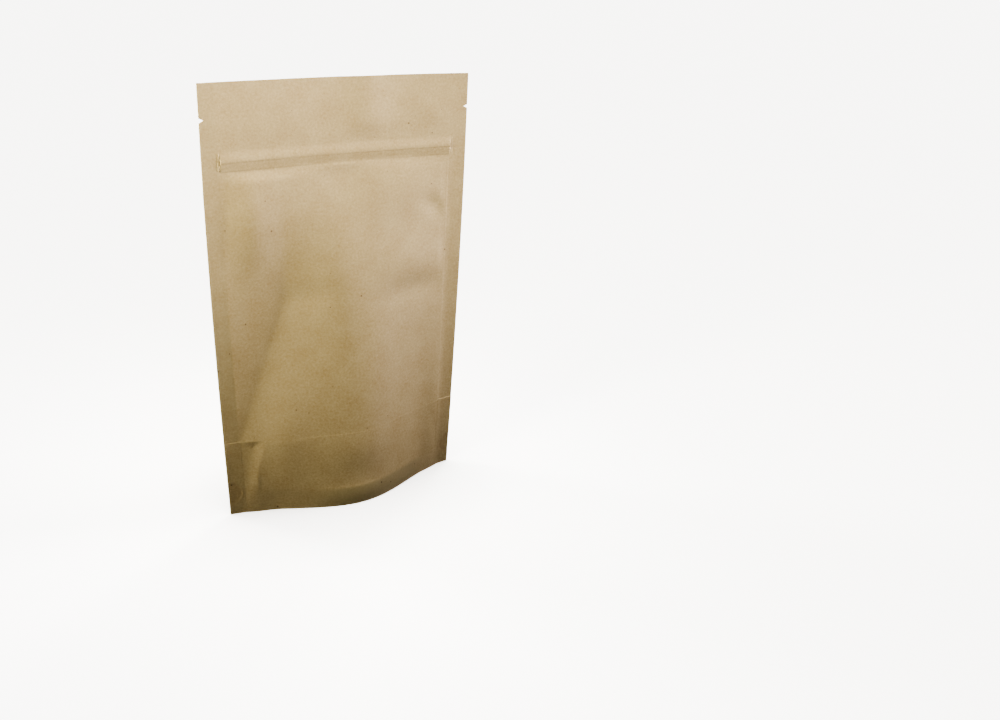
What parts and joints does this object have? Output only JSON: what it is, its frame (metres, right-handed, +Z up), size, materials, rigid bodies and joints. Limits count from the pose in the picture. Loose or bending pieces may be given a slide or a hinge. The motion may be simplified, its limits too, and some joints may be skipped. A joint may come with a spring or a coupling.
{
  "type": "kraft pouch",
  "caption": "Empty kraft paper stand-up pouch with flat side seals, a pressed press-to-close strip, tear notches and an opened base gusset with a skirt to stand on.",
  "frame": {"origin": "on the floor under the middle of the base", "axes": "+Z up to the mouth, +X along the flat width to the viewer's right, the front panel faces -Y"},
  "size_m": [0.13, 0.04, 0.21],
  "materials": {
    "kraft_laminate": "uncoated brown kraft paper outside, laminated film inside, matt with a faint sheen"
  },
  "bodies": {
    "root": {"pouch": "kraft_laminate"}
  },
  "joints": []
}
